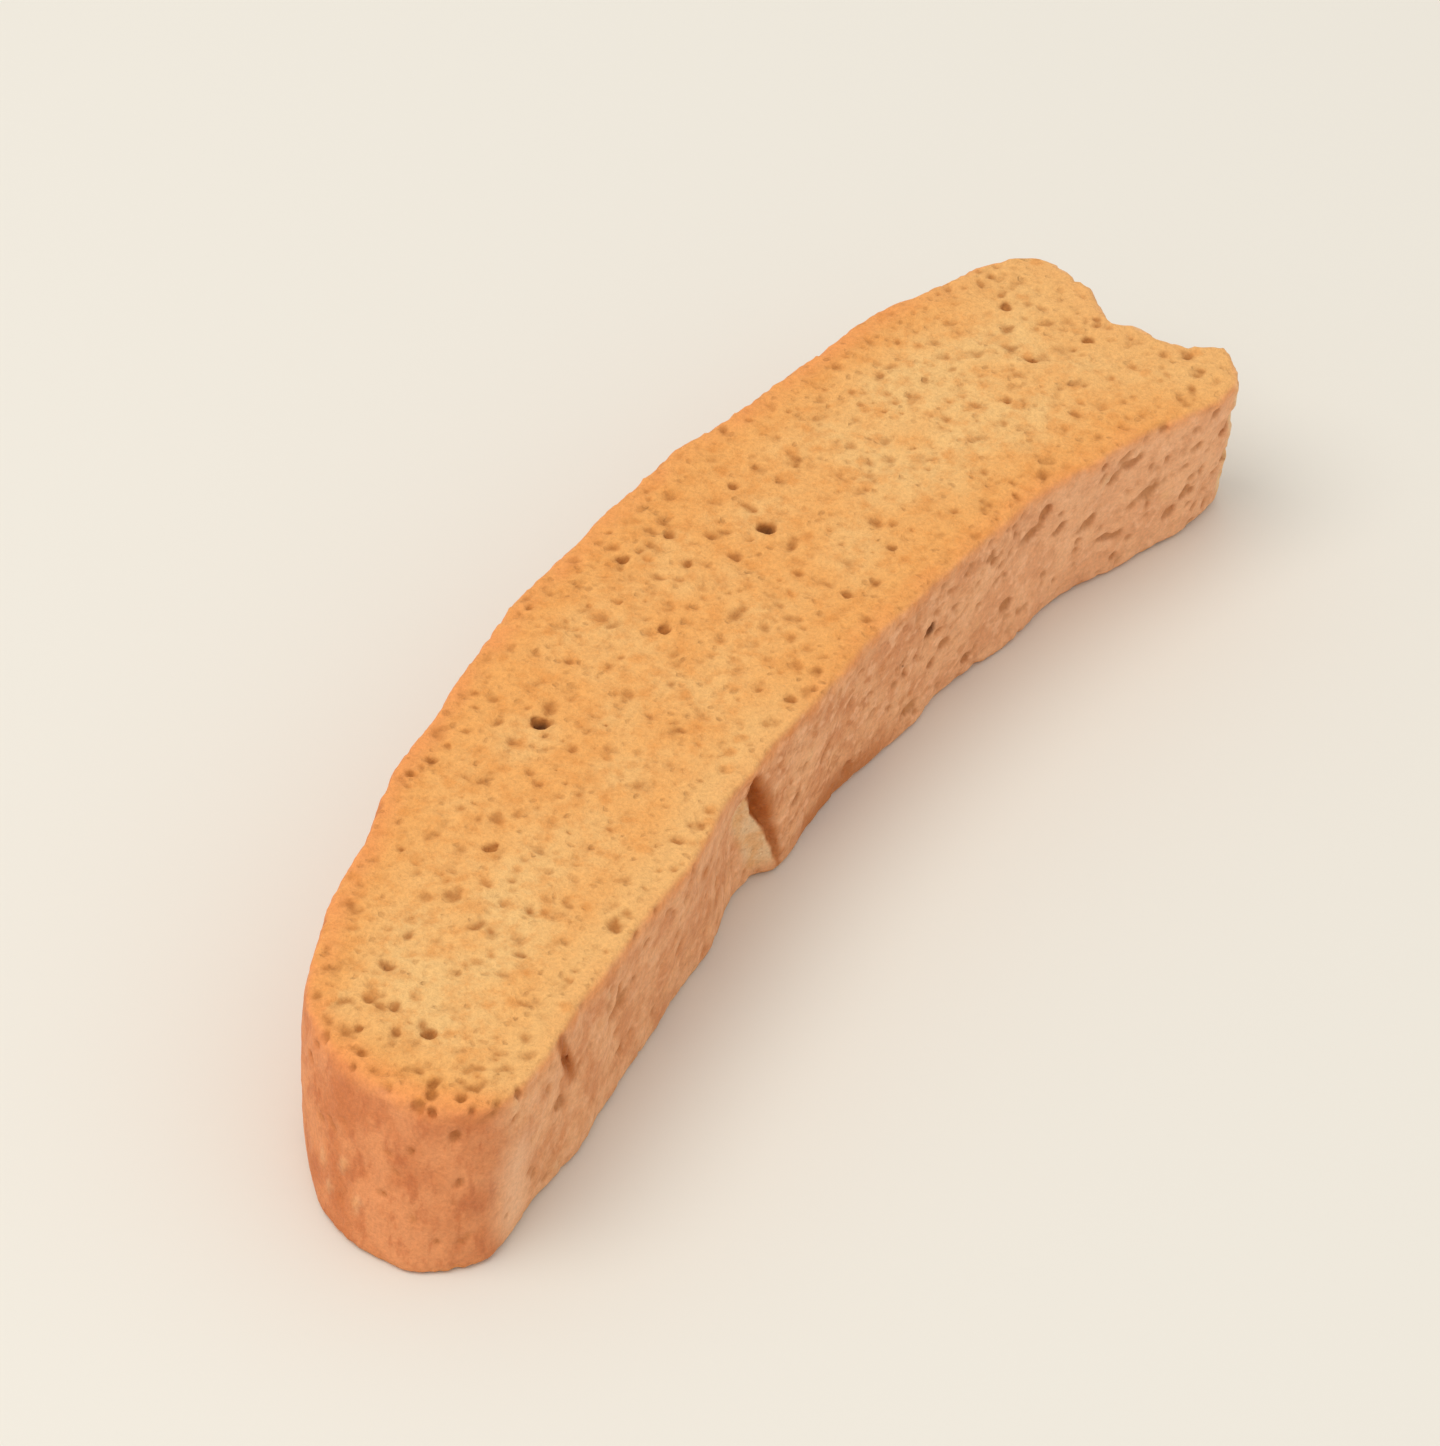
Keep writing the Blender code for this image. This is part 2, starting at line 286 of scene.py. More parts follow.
def grain(points, size, offset=0.0):
    """Smooth noise from about -1 to 1 with features of the given size."""
    scaled = points / size + offset
    cell = np.floor(scaled).astype(np.int64)
    part = (scaled - cell).astype(np.float32)
    fade = part**3 * (part * (part * 6.0 - 15.0) + 10.0)
    total = np.zeros(len(points), np.float32)
    for step in CUBE_CORNERS:
        spot = (cell + step) % LATTICE
        slope = gradients[spot[:, 0], spot[:, 1], spot[:, 2]]
        reach = (slope * (part - step)).sum(axis=1)
        weight = np.where(step, fade, 1.0 - fade).prod(axis=1)
        total += reach * weight
    return total * 1.6


# The outline at each level.
def waver(x, level):
    """The sides' gentle waves."""
    return 0.24 * np.sin(x / 3.9 + 1.3 + 2.0 * level) + 0.17 * np.sin(x / 2.1 + 0.4 - 3.0 * level)


def step_x(level):
    return mix(STEP_BOTTOM_X, STEP_TOP_X, level)


def crack_shift(level):
    """How far along the slice the step's crack strays from the step."""
    return mix(1.3, -1.0, ease(0.1, 0.9, level))


def dome_y(x, level):
    arc = DOME_RADIUS - np.sqrt(DOME_RADIUS**2 - (x - DOME_X) ** 2)
    shoulders = sum(height * bell(x, place, width) for place, width, height in DOME_SHOULDERS)
    belly = DOME_BELLY * 4.0 * level * (1.0 - level)
    return DOME_Y - arc + shoulders + belly + waver(x, level)


def base_y(x, level):
    step = step_x(level)
    near = BASE_NEAR_Y - BASE_NEAR_SLOPE * np.maximum(-7.0 - x, 0.0)
    near = near + CHIP_DEPTH * bell(x, step - 4.5, CHIP_HALF_LENGTH) * bell(level, 0.45, 0.4)
    far = BASE_FAR_Y - FLARE_DEPTH * np.minimum((np.maximum(x, 0.0) / FLARE_X) ** FLARE_POWER, 1.0)
    far = far - STEP_LIP * mix(1.0, 0.2, level) * (1.0 - ease(0.0, 13.0, x - step))
    undercut = (UNDERCUT * ease(-45.0, -5.0, x) + FAR_UNDERCUT * ease(46.0, 58.0, x)) * (1.0 - level)
    feet = sum(reach * bell(x, place, width) for place, width, reach in FEET)
    undercut = undercut - feet * (1.0 - level) ** 2
    return mix(near, far, ease(-0.6, 0.6, x - step)) + undercut - 0.8 * waver(x + 20.0, level)


def side_split(x):
    """Where across the slice the base side's crust ends and the other walls' begins."""
    return mix(2.0, -4.0, ease(-60.0, 60.0, x))


def side_points(u, side, level):
    lean = 1.0 - level
    if side == "dome":
        x = mix(NEAR_DOME_X - NEAR_LEAN * lean, FAR_DOME_X, u)
        return np.stack([x, dome_y(x, level)], axis=1)
    x = mix(NEAR_BASE_X - 0.8 * NEAR_LEAN * lean, FAR_BASE_X + FAR_LEAN * lean, u)
    return np.stack([x, base_y(x, level)], axis=1)


def far_crags(v, level):
    """How far the broken end's bite and horns reach out, strongest at the top."""
    crags = sum(reach * bell(v, place, width) for place, reach, width in FAR_CRAGS)
    return crags * mix(0.55, 1.0, level)


def end_points(v, end, level):
    u = np.array([0.0 if end == "near" else 1.0])
    dome = side_points(u, "dome", level)
    base = side_points(u, "base", level)
    line = dome + (base - dome) * v[:, None]
    lean = 1.0 - level
    if end == "near":
        bulge = NEAR_BULGE + NEAR_BULGE_LEAN * lean
        line[:, 0] -= bulge * (1.0 - np.abs(2.0 * v**1.2 - 1.0) ** 2.6)
        return line
    line[:, 0] += far_crags(v, level)
    return line


def far_gap(x, y, level):
    """How far inside the broken end's line a place lies, measured along the slice."""
    base_x = FAR_BASE_X + FAR_LEAN * (1.0 - level)
    dome, base = dome_y(FAR_DOME_X, level), base_y(base_x, level)
    v = np.clip((dome - y) / (dome - base), 0.0, 1.0)
    return mix(FAR_DOME_X, base_x, v) + far_crags(v, level) - x


def worn(ring, corner, reach, passes):
    """Rounds one corner of an outline by averaging its points."""
    count = len(ring)
    spots = np.arange(corner - reach, corner + reach + 1)
    for _ in range(passes):
        before = ring.copy()
        beside = before[(spots - 1) % count] + before[(spots + 1) % count]
        ring[spots % count] = 0.5 * before[spots % count] + 0.25 * beside
    return ring


def outline(level):
    """The closed outline at a level: dome, broken end, base side and rounded end."""
    along = np.arange(CELLS_ALONG) / CELLS_ALONG
    across = np.arange(CELLS_ACROSS) / CELLS_ACROSS
    ring = np.concatenate(
        [
            side_points(along, "dome", level),
            end_points(across, "far", level),
            side_points(1.0 - along, "base", level),
            end_points(1.0 - across, "near", level),
        ]
    )
    ring = worn(ring, 0, *NEAR_DOME_WEAR)
    ring = worn(ring, 2 * CELLS_ALONG + CELLS_ACROSS, *NEAR_BASE_WEAR)
    return worn(ring, CELLS_ALONG, *FAR_WEAR)


def level_above(level):
    """The index of the first named level above a level, for mixing it with the one below."""
    return min(max(int(np.searchsorted(LEVELS, level)), 1), len(LEVELS) - 1)


def plan_distance(ring, x, y):
    """Signed distance in plan to a closed outline: negative inside."""
    nearest = np.full(x.shape, 1e9)
    inside = np.zeros(x.shape, bool)
    for a, b in zip(ring, np.roll(ring, -1, axis=0)):
        edge = b - a
        t = np.clip(((x - a[0]) * edge[0] + (y - a[1]) * edge[1]) / (edge @ edge), 0.0, 1.0)
        nearest = np.minimum(nearest, (x - a[0] - t * edge[0]) ** 2 + (y - a[1] - t * edge[1]) ** 2)
        if a[1] != b[1]:
            crosses = (a[1] > y) != (b[1] > y)
            inside ^= crosses & (x < a[0] + (y - a[1]) / edge[1] * edge[0])
    return np.where(inside, -1.0, 1.0) * np.sqrt(nearest)


# The field: negative inside the rusk.
low = np.array(FIELD_LOW)
counts = np.ceil((np.array(FIELD_HIGH) - low) / PITCH).astype(int) + 1
xs, ys, zs = (low[axis] + PITCH * np.arange(counts[axis]) for axis in range(3))
plan_x, plan_y = np.meshgrid(xs, ys, indexing="ij")
rings = {level: outline(level) for level in LEVELS}
plans = {level: plan_distance(rings[level], plan_x, plan_y) for level in LEVELS}

flat = np.stack([plan_x.ravel(), plan_y.ravel(), np.full(plan_x.size, 5.0)], axis=1)
top_z = THICKNESS - TOP_ROLL + TOP_ROLL * grain(flat, 9.0).reshape(plan_x.shape)
top_z += 0.5 * TOP_ROLL * grain(flat, 3.1, 7.3).reshape(plan_x.shape)

swell = WALL_SWELL + BREAK_SWELL * ease(3.0, 1.0, far_gap(plan_x, plan_y, 0.7))
wall = np.empty(tuple(counts), np.float32)
for k, z in enumerate(zs):
    level = min(max(z / THICKNESS, 0.0), 1.0)
    upper = level_above(level)
    below, above = LEVELS[upper - 1], LEVELS[upper]
    wall[:, :, k] = mix(plans[below], plans[above], (level - below) / (above - below)) - swell
over_top = (zs[None, None, :] - top_z[:, :, None]).astype(np.float32)
under = np.broadcast_to(-zs[None, None, :], over_top.shape).astype(np.float32)
body = smooth_max(smooth_max(wall, over_top, TOP_ROUND), under, UNDER_ROUND)

# The surface's roughness, by how near the rims, the broken end and the chip a place lies.
band = np.abs(body) < BAND
where = np.nonzero(band)
spots = np.stack([xs[where[0]], ys[where[1]], zs[where[2]]], axis=1)
near_wall = wall[band]
near_top = over_top[band]
near_under = under[band]
level_here = np.clip(spots[:, 2] / THICKNESS, 0.0, 1.0)
cut = np.maximum(near_top, near_under)
wallness = ease(-0.6, 0.6, near_wall - cut)
rim = np.exp(-np.hypot(near_wall, cut) / 1.0)
break_face = ease(1.8, 0.5, far_gap(spots[:, 0], spots[:, 1], level_here)) * wallness
base_side = spots[:, 1] < side_split(spots[:, 0])
from_step = spots[:, 0] - step_x(level_here)
chip = bell(from_step, -2.4, 2.4) * bell(level_here, 0.66, 0.26)
chip *= wallness * base_side

coarse = grain(spots, COARSE_GRAIN)
middle = grain(spots, MIDDLE_GRAIN, 3.7)
fine = grain(spots, FINE_GRAIN, 9.1)
rough = mix(0.05, 0.2, wallness) * coarse + 0.07 * middle + mix(0.09, 0.045, wallness) * fine
crumbled = mix(0.27, 0.6, ease(-48.0, -56.0, spots[:, 0])) * mix(0.4, 1.0, level_here)
rough += crumbled * rim * (np.abs(middle) + 0.5 * np.abs(fine) - 0.3)
rough += break_face * (0.32 * coarse + 0.24 * middle + 0.08 * fine)
rough += chip * (0.25 + 0.2 * coarse + 0.5 * np.abs(middle) + 0.2 * fine)
underness = ease(-0.5, 0.5, near_under - np.maximum(near_wall, near_top))
rough = mix(rough, np.maximum(rough, 0.0), underness)
uncut = body.copy()
uncut[band] += rough
bubbled = uncut.copy()

# The crack at the step: a furrow under the top rim that closes downwards.
crack_off = from_step - crack_shift(level_here) - 0.5 * coarse - 0.5 * middle - 0.2 * fine
crack_width = CRACK_LEAST_WIDTH + CRACK_GAPE * ease(0.05, 0.6, level_here) * ease(0.94, 0.8, level_here)
crack_depth = 0.25 + 1.2 * crack_width
furrow = (np.hypot(crack_off / crack_width, near_wall / crack_depth) - 1.0) * crack_width
furrow = np.where(base_side & (level_here > 0.06) & (level_here < 0.92), furrow, NO_CRACK)
bubbled[band] = smooth_max(bubbled[band], -furrow, 0.5)

# A short crack down from the rim near the rounded end.
crack_x, crack_low, crack_high = CORNER_CRACK
crack_line = crack_x + CORNER_CRACK_LEAN * (crack_high - level_here) + middle
crack_line = crack_line + 0.6 * coarse + 0.3 * fine
crack_half = 0.2 + 0.34 * bell(level_here, mix(crack_low, crack_high, 0.4), 0.12)
corner_gap = np.hypot((spots[:, 0] - crack_line) / crack_half, near_wall / (0.15 + crack_half))
corner_gap = np.maximum((corner_gap - 1.0) * crack_half, THICKNESS * (crack_low - level_here))
bubbled[band] = smooth_max(bubbled[band], -np.where(base_side, corner_gap, NO_CRACK), 0.35)

# Small shifts along x, y and z that keep the bubbles from being smooth ellipsoids.
warp = np.zeros((3, *counts), np.float32)
for axis, offset in enumerate((1.9, 5.3, 8.6)):
    warp[axis][band] = 0.22 * grain(spots, 0.8, offset)


def grid_box(centre, reach):
    """The part of the grid within reach of a place."""
    first = np.clip(np.floor((centre - reach - low) / PITCH).astype(int), 0, counts)
    last = np.clip(np.ceil((centre + reach - low) / PITCH).astype(int) + 1, 0, counts)
    return tuple(slice(a, b) for a, b in zip(first, last))


def warped_offsets(box, centre, strength):
    """The way from a place to the box's places along x, y and z, made irregular."""
    x = xs[box[0]][:, None, None] - centre[0] + strength * warp[0][box]
    y = ys[box[1]][None, :, None] - centre[1] + strength * warp[1][box]
    z = zs[box[2]][None, None, :] - centre[2] + strength * warp[2][box]
    return x, y, z


def carve(centre, axes, radii, soft=0.18):
    """Cuts one bubble: an ellipsoid on three unit axes."""
    box = grid_box(centre, (np.abs(axes).T @ radii) + 2.0 * PITCH)
    x, y, z = warped_offsets(box, centre, 1.0)
    far = 0.0
    for axis, radius in zip(axes, radii):
        far = far + ((x * axis[0] + y * axis[1] + z * axis[2]) / radius) ** 2
    shell = (np.sqrt(far) - 1.0) * min(radii)
    bubbled[box] = smooth_max(bubbled[box], -shell, soft)


def turned(angle):
    """Three unit axes turned in plan."""
    cos, sin = math.cos(angle), math.sin(angle)
    return np.array([[cos, sin, 0.0], [-sin, cos, 0.0], [0.0, 0.0, 1.0]])


def jittered(rng, spacing, x_range, y_range):
    """Places of a square grid, each moved at random within its square."""
    grid_x, grid_y = np.meshgrid(np.arange(*x_range, spacing), np.arange(*y_range, spacing))
    spread = rng.uniform(-0.5, 0.5, (2, *grid_x.shape)) * spacing * 0.95
    return np.stack([(grid_x + spread[0]).ravel(), (grid_y + spread[1]).ravel()], axis=1)


def plan_at(plan, spot):
    """A plan grid's value at the nearest of its places."""
    i, j = ((np.asarray(spot) - low[:2]) / PITCH).round().astype(int)
    return plan[min(max(i, 0), counts[0] - 1), min(max(j, 0), counts[1] - 1)]


def open_bubble(rng, centre, radius, depth):
    """One irregular bubble: a few overlapping rounds."""
    for share in (1.0, 0.72, 0.6):
        angle = rng.uniform(0.0, math.tau)
        aside = (1.0 - share) * 1.7 * radius
        spot = centre + np.array([math.cos(angle), math.sin(angle), 0.0]) * aside
        size = radius * share
        carve(spot, turned(angle), np.array([size * rng.uniform(1.0, 1.3), size * 0.9, depth * size]))


def pit_cut_face(rng, level, spacing, sizes, depth, share):
    """Bubbles opened by a cut face, evenly scattered; only a share of the places has one."""
    for spot in jittered(rng, spacing, (-64.0, 65.0), (-20.0, 20.0)):
        radius = rng.uniform(*sizes) * rng.uniform(0.7, 1.0)
        stretch = rng.uniform(1.0, 1.7)
        angle = rng.uniform(0.0, math.pi)
        lift = rng.uniform(0.0, 0.4) * radius * depth
        if plan_at(plans[level], spot) > -0.35 or rng.uniform() > share:
            continue
        height = plan_at(top_z, spot) + lift if level else -lift
        radii = np.array([radius * stretch, radius, radius * depth])
        carve(np.array([*spot, height]), turned(angle), radii)


def open_large_pores(rng):
    """The placed pores of the top face, and scattered ones like them on the underside."""
    for x, y, radius in LARGE_PORES:
        open_bubble(rng, np.array([x, y, THICKNESS]), 0.8 * radius, 1.25 + 0.4 * (radius > 0.81))
    for x, y in jittered(rng, UNDER_PORE_SPACING, (-60.0, 62.0), (-18.0, 18.0)):
        if plan_at(plans[0.0], (x, y)) < -1.5:
            open_bubble(rng, np.array([x, y, 0.0]), rng.uniform(0.45, 0.8), 1.2)


# Bubbles and dents of the walls and rims, placed round the outline and up it.
stack = np.stack([rings[level] for level in LEVELS])


def wall_place(turn_index, level):
    """A place on the wall with its outward and along directions."""
    upper = level_above(level)
    part = (level - LEVELS[upper - 1]) / (LEVELS[upper] - LEVELS[upper - 1])
    ring = mix(stack[upper - 1], stack[upper], part)
    i = int(turn_index) % len(ring)
    after = ring[(i + 1) % len(ring)]
    spot = mix(ring[i], after, turn_index % 1.0)
    along = after - ring[i]
    along /= max(np.linalg.norm(along), 1e-6)
    place = np.array([*spot, level * THICKNESS])
    outward = np.array([-along[1], along[0], 0.0])
    return place, outward, np.array([*along, 0.0])


def base_place(x, level):
    """A place on the base side with its outward and along directions."""
    slope = float(base_y(x + 3.0, level) - base_y(x - 3.0, level)) / 6.0
    along = np.array([1.0, slope, 0.0]) / math.hypot(1.0, slope)
    place = np.array([x, float(base_y(x, level)), level * THICKNESS])
    return place, np.array([along[1], -along[0], 0.0]), along


def pit_wall(place, outward, along, tip, radii, soft=0.3):
    """Cuts one bubble whose long axis lies in the wall, tipped up from the level by an angle."""
    first = along * math.cos(tip) + np.array([0.0, 0.0, math.sin(tip)])
    second = np.cross(outward, first)
    carve(place, np.array([first, second, outward]), np.array(radii), soft)


ring_size = stack.shape[1]


def pit_broken_face(rng):
    """Evenly spread pores of the torn crumb."""
    step, rise = BREAK_SPACING
    for turn in np.arange(CELLS_ALONG + 0.9, CELLS_ALONG + CELLS_ACROSS - 0.6, step):
        for height in np.arange(1.4, THICKNESS - 1.6, rise):
            size = rng.uniform(0.2, 0.44)
            place, outward, along = wall_place(turn + rng.uniform(-0.2, 0.2), height / THICKNESS)
            place[2] += rng.uniform(-0.5, 0.5)
            tip = rng.uniform(0.0, math.pi)
            pit_wall(place + outward * 0.3, outward, along, tip, (1.5 * size, size, 1.2 * size))


def pit_walls(rng):
    """Sparse pits of the crusts, with more on the far base side and in the broken end's middle."""
    step, rise = WALL_SPACING
    for turn in np.arange(0.0, ring_size, step):
        for height in np.arange(1.2, THICKNESS - 0.6, rise):
            level = (height + rng.uniform(-0.9, 0.9)) / THICKNESS
            clear_level = min(max(level, 0.02), 0.98)
            place, outward, along = wall_place(turn + rng.uniform(-0.3, 0.3), clear_level)
            broken = far_gap(place[0], place[1], level) < 0.8 and outward[0] > 0.3
            smooth_end = place[0] < -54.0
            far_base = outward[1] < -0.5 and place[0] > 12.0
            from_middle = abs(turn - CELLS_ALONG - 0.5 * CELLS_ACROSS)
            by_edge = height > THICKNESS - 1.8 or from_middle > 0.5 * CELLS_ACROSS - 0.8
            if broken and by_edge:
                continue
            chance = 0.4 if broken else 0.12 if smooth_end else 0.4 if far_base else 0.18
            size = rng.uniform(0.3, 0.7) if broken else rng.uniform(0.22, 0.44)
            tip = rng.uniform(0.0, math.pi)
            if rng.uniform() < chance:
                pit_wall(place + outward * 0.12, outward, along, tip, (1.5 * size, size, 0.8 * size))


def pit_rims(rng):
    """Bubbles broken open along both rims, densest round the top rim of the ends."""
    for turn in np.arange(0.0, ring_size, RIM_SPACING):
        for level in (1.0, 0.0):
            place, outward, along = wall_place(turn + rng.uniform(-0.25, 0.25), level)
            quiet = -52.0 < place[0] < 50.0
            rounded_end = place[0] < -52.0
            most = 0.6 if rounded_end and level else 0.45
            size = rng.uniform(0.28, most) * (1.0 if level else 0.85)
            inwards = rng.uniform(0.6 if quiet else 0.2, 2.6)
            sunk = rng.uniform(-0.25, 0.2) * (2 * level - 1)
            place = place - outward * inwards + np.array([0.0, 0.0, sunk])
            if rng.uniform() < (0.3 if quiet else 0.6 if level else 0.25):
                radii = np.array([1.4 * size, size, 0.9 * size])
                carve(place, turned(rng.uniform(0.0, math.pi)), radii)


def pit_end_rims(rng):
    """Small bubbles that crowd inside the top rim of both ends."""
    for turn in np.arange(0.0, ring_size, END_RIM_SPACING):
        place, outward, along = wall_place(turn + rng.uniform(-0.2, 0.2), 1.0)
        place = place - outward * rng.uniform(1.0, 5.5)
        near_end = place[0] < 0.0
        size = rng.uniform(0.26, 0.56) if near_end else rng.uniform(0.24, 0.44)
        by_end = place[0] < -43.0 or place[0] > 50.0
        if by_end and rng.uniform() < (0.75 if near_end else 0.25):
            radii = np.array([1.5 * size, size, 0.8 * size])
            carve(place, turned(rng.uniform(0.0, math.pi)), radii)


def dent_base_side(rng):
    """The placed pits of the rounded end's rim, and the placed dents of the base side."""
    for turn, level, radius in RIM_PITS:
        tip = rng.uniform(1.2, 1.9)
        pit_wall(*wall_place(turn, level), tip, (1.5 * radius, radius, 0.9 * radius))
    for x, level, length, width in WALL_DENTS:
        tip = rng.uniform(-0.2, 1.1) if x > -12.0 else rng.uniform(-1.0, -0.4)
        for share in (1.0, 0.75, 0.6):
            stray = rng.uniform(-1.0, 1.0, 2) * (1.0 - share) * 1.3
            dent_level = min(level + stray[1] * width / THICKNESS, 0.97)
            spot = base_place(x + stray[0] * length, dent_level)
            radii = np.array([0.46 * length, 0.46 * width, 0.28 + 0.1 * width]) * share
            pit_wall(*spot, tip + rng.uniform(-0.5, 0.5), radii, 0.36)


rng = np.random.default_rng(SHAPE_SEED)
open_large_pores(rng)
for face_level in (1.0, 0.0):
    for pits in CUT_FACE_PITS:
        pit_cut_face(rng, face_level, *pits)
pit_broken_face(rng)
pit_walls(rng)
pit_rims(rng)
pit_end_rims(rng)
dent_base_side(rng)
speck_x, speck_level, speck_radius = SPECK_HOLE
speck_place = base_place(speck_x, speck_level)
pit_wall(*speck_place, SPECK_TIP, (speck_radius, 0.9 * speck_radius, SPECK_DEPTH))
rim_y = float(base_y(crack_x, 1.0)) + RIM_CRACK_SHIFT
rim_spot = np.array([crack_x + RIM_CRACK_SHIFT, rim_y, THICKNESS])
carve(rim_spot, turned(RIM_CRACK_TURN), np.array(RIM_CRACK_RADII))


# Crumbs baked or rubbed onto the walls.
crumb_mask = np.zeros(tuple(counts), np.float32)


def stick(centre, radius):
    """Adds one small crumb and marks where it lies."""
    box = grid_box(centre, 2.2 * radius + 0.5)
    x, y, z = warped_offsets(box, centre, 0.8)
    lump = np.sqrt(x * x + y * y + (z * 0.7) ** 2) - radius
    bubbled[box] = -smooth_max(-bubbled[box], -lump, 0.4)
    crumb_mask[box] = np.maximum(crumb_mask[box], 1.0 - ease(-0.1, 0.5, lump))


def stick_crumbs(rng):
    """The placed crumbs, then some all round the walls and some along the dome's rim."""
    for turn, level in END_CRUMBS:
        place, outward, _ = wall_place(turn, level)
        stick(place - outward * 0.1, 0.26)
        stick(place - outward * 0.1 + np.array([0.0, 0.0, -0.5]), 0.2)
    for _ in range(12):
        place, outward, _ = wall_place(rng.uniform(0.0, ring_size), rng.uniform(0.1, 0.9))
        stick(place - outward * 0.1, rng.uniform(0.2, 0.3))
    for _ in range(18):
        place, outward, _ = wall_place(rng.uniform(0.0, CELLS_ALONG), 0.97)
        stick(place - outward * rng.uniform(0.3, 0.7), rng.uniform(0.18, 0.28))


stick_crumbs(rng)


def surface_nets(field):
    """The surface: a vertex in each cell that it crosses, and a face for each edge that it crosses."""
    inside = field < 0.0
    cells = np.array(field.shape) - 1
    cell_ids, places = [], []
    faces = []
    for axis in range(3):
        ahead = [slice(None)] * 3
        behind = [slice(None)] * 3
        ahead[axis], behind[axis] = slice(1, None), slice(None, -1)
        a, b = field[tuple(behind)], field[tuple(ahead)]
        crossed = inside[tuple(behind)] != inside[tuple(ahead)]
        others = [other for other in range(3) if other != axis]
        for other in others:
            edge = [slice(None)] * 3
            edge[other] = 0
            crossed[tuple(edge)] = False
            edge[other] = -1
            crossed[tuple(edge)] = False
        spot = np.stack(np.nonzero(crossed), axis=1)
        start, end = a[crossed], b[crossed]
        place = spot.astype(float)
        place[:, axis] += start / (start - end)
        corners = []
        for du, dv in ((-1, -1), (0, -1), (0, 0), (-1, 0)):
            cell = spot.copy()
            cell[:, others[0]] += du
            cell[:, others[1]] += dv
            corners.append((cell[:, 0] * cells[1] + cell[:, 1]) * cells[2] + cell[:, 2])
        quad = np.stack(corners, axis=1)
        flip = (start < 0.0) != (axis == 1)
        quad[~flip] = quad[~flip][:, ::-1]
        faces.append(quad)
        for corner in corners:
            cell_ids.append(corner)
            places.append(place)
    faces = np.concatenate(faces)
    cell_ids = np.concatenate(cell_ids)
    places = np.concatenate(places)
    used, index = np.unique(cell_ids, return_inverse=True)
    tally = np.bincount(index, minlength=len(used))
    sums = [np.bincount(index, places[:, axis], len(used)) for axis in range(3)]
    points = np.stack([total / tally for total in sums], axis=1)
    return low + points * PITCH, np.searchsorted(used, faces)


def largest_part(points, faces):
    """Only the body: no sealed bubbles and no loose specks."""
    label = np.arange(len(points))
    edges = np.concatenate([faces[:, [0, 1]], faces[:, [1, 2]], faces[:, [2, 3]]])
    while True:
        least = np.minimum(label[edges[:, 0]], label[edges[:, 1]])
        fresh = label.copy()
        np.minimum.at(fresh, edges[:, 0], least)
        np.minimum.at(fresh, edges[:, 1], least)
        fresh = fresh[fresh]
        if (fresh == label).all():
            break
        label = fresh
    main = np.bincount(label).argmax()
    keep = label == main
    renumber = np.cumsum(keep) - 1
    return points[keep], renumber[faces[keep[faces[:, 0]]]]


def sampled(values, points):
    """A grid's values at points between its places."""
    scaled = (points - low) / PITCH
    cell = np.clip(np.floor(scaled).astype(int), 0, counts - 2)
    part = scaled - cell
    total = np.zeros(len(points))
    for step in CUBE_CORNERS:
        spot = cell + step
        weight = np.where(step, part, 1.0 - part).prod(axis=1)
        total += values[spot[:, 0], spot[:, 1], spot[:, 2]] * weight
    return total


def mesh_of(points, faces):
    """A mesh of four-sided faces."""
    made = bpy.data.meshes.new("rusk_crumb_body")
    made.vertices.add(len(points))
    made.vertices.foreach_set("co", points.ravel())
    made.loops.add(4 * len(faces))
    made.loops.foreach_set("vertex_index", faces.ravel())
    made.polygons.add(len(faces))
    made.polygons.foreach_set("loop_start", np.arange(0, 4 * len(faces), 4))
    made.update(calc_edges=True)
    made.validate()
    return made


def lightened(body, most):
    """The object's mesh with at most so many triangles, fewest where it is flattest."""
    fewer = body.modifiers.new("lighten", "DECIMATE")
    fewer.ratio = min(1.0, most / (2.0 * len(body.data.polygons)))
    evaluated = body.evaluated_get(bpy.context.evaluated_depsgraph_get())
    made = bpy.data.meshes.new_from_object(evaluated)
    body.modifiers.remove(fewer)
    return made


points, faces = largest_part(*surface_nets(bubbled))
rusk = bpy.data.objects.new("rusk_crumb_body", mesh_of(points, faces))
bpy.context.scene.collection.objects.link(rusk)
mesh = lightened(rusk, MOST_TRIANGLES)
rusk.data = mesh
points = np.empty(3 * len(mesh.vertices))
mesh.vertices.foreach_get("co", points)
points = points.reshape(-1, 3)
points[:, 2] = np.maximum(points[:, 2], LEAST_HEIGHT)
middle_shift = np.array([PLAN_MIDDLE[0], PLAN_MIDDLE[1], 0.0])
mesh.vertices.foreach_set("co", ((points - middle_shift) * MM).ravel())
mesh.polygons.foreach_set("use_smooth", np.ones(len(mesh.polygons), bool))
mesh.update()


def store(name, values):
    """Keeps one value for each vertex under a name that the material reads."""
    kept = mesh.attributes.new(name, "FLOAT", "POINT")
    kept.data.foreach_set("value", np.asarray(values, np.float32))


# What the material needs to know at each vertex.
wall_here = sampled(wall, points)
cut_here = np.maximum(sampled(over_top, points), sampled(under, points))
carved = -sampled(uncut, points)
level_points = np.clip(points[:, 2] / THICKNESS, 0.0, 1.0)
wall_share = ease(-0.5, 0.7, wall_here - cut_here)
on_base = (points[:, 1] < side_split(points[:, 0])) * ease(-60.0, -55.0, points[:, 0])
past_step = points[:, 0] - step_x(level_points)
past_core = past_step - crack_shift(level_points)
torn = bell(past_core, -1.7, 1.6) * ease(0.86, 0.6, level_points)
torn = torn * ease(0.02, 0.16, level_points) * on_base
broken = ease(1.1, 0.4, far_gap(points[:, 0], points[:, 1], level_points))
# The step's crack is stained brown, darkest at its core and fading beyond it: partly real browning,
# partly painted shade in the crack.
halo = 1.2 + 2.0 * bell(level_points, 0.62, 0.28) + 0.6 * grain(points, 1.9)
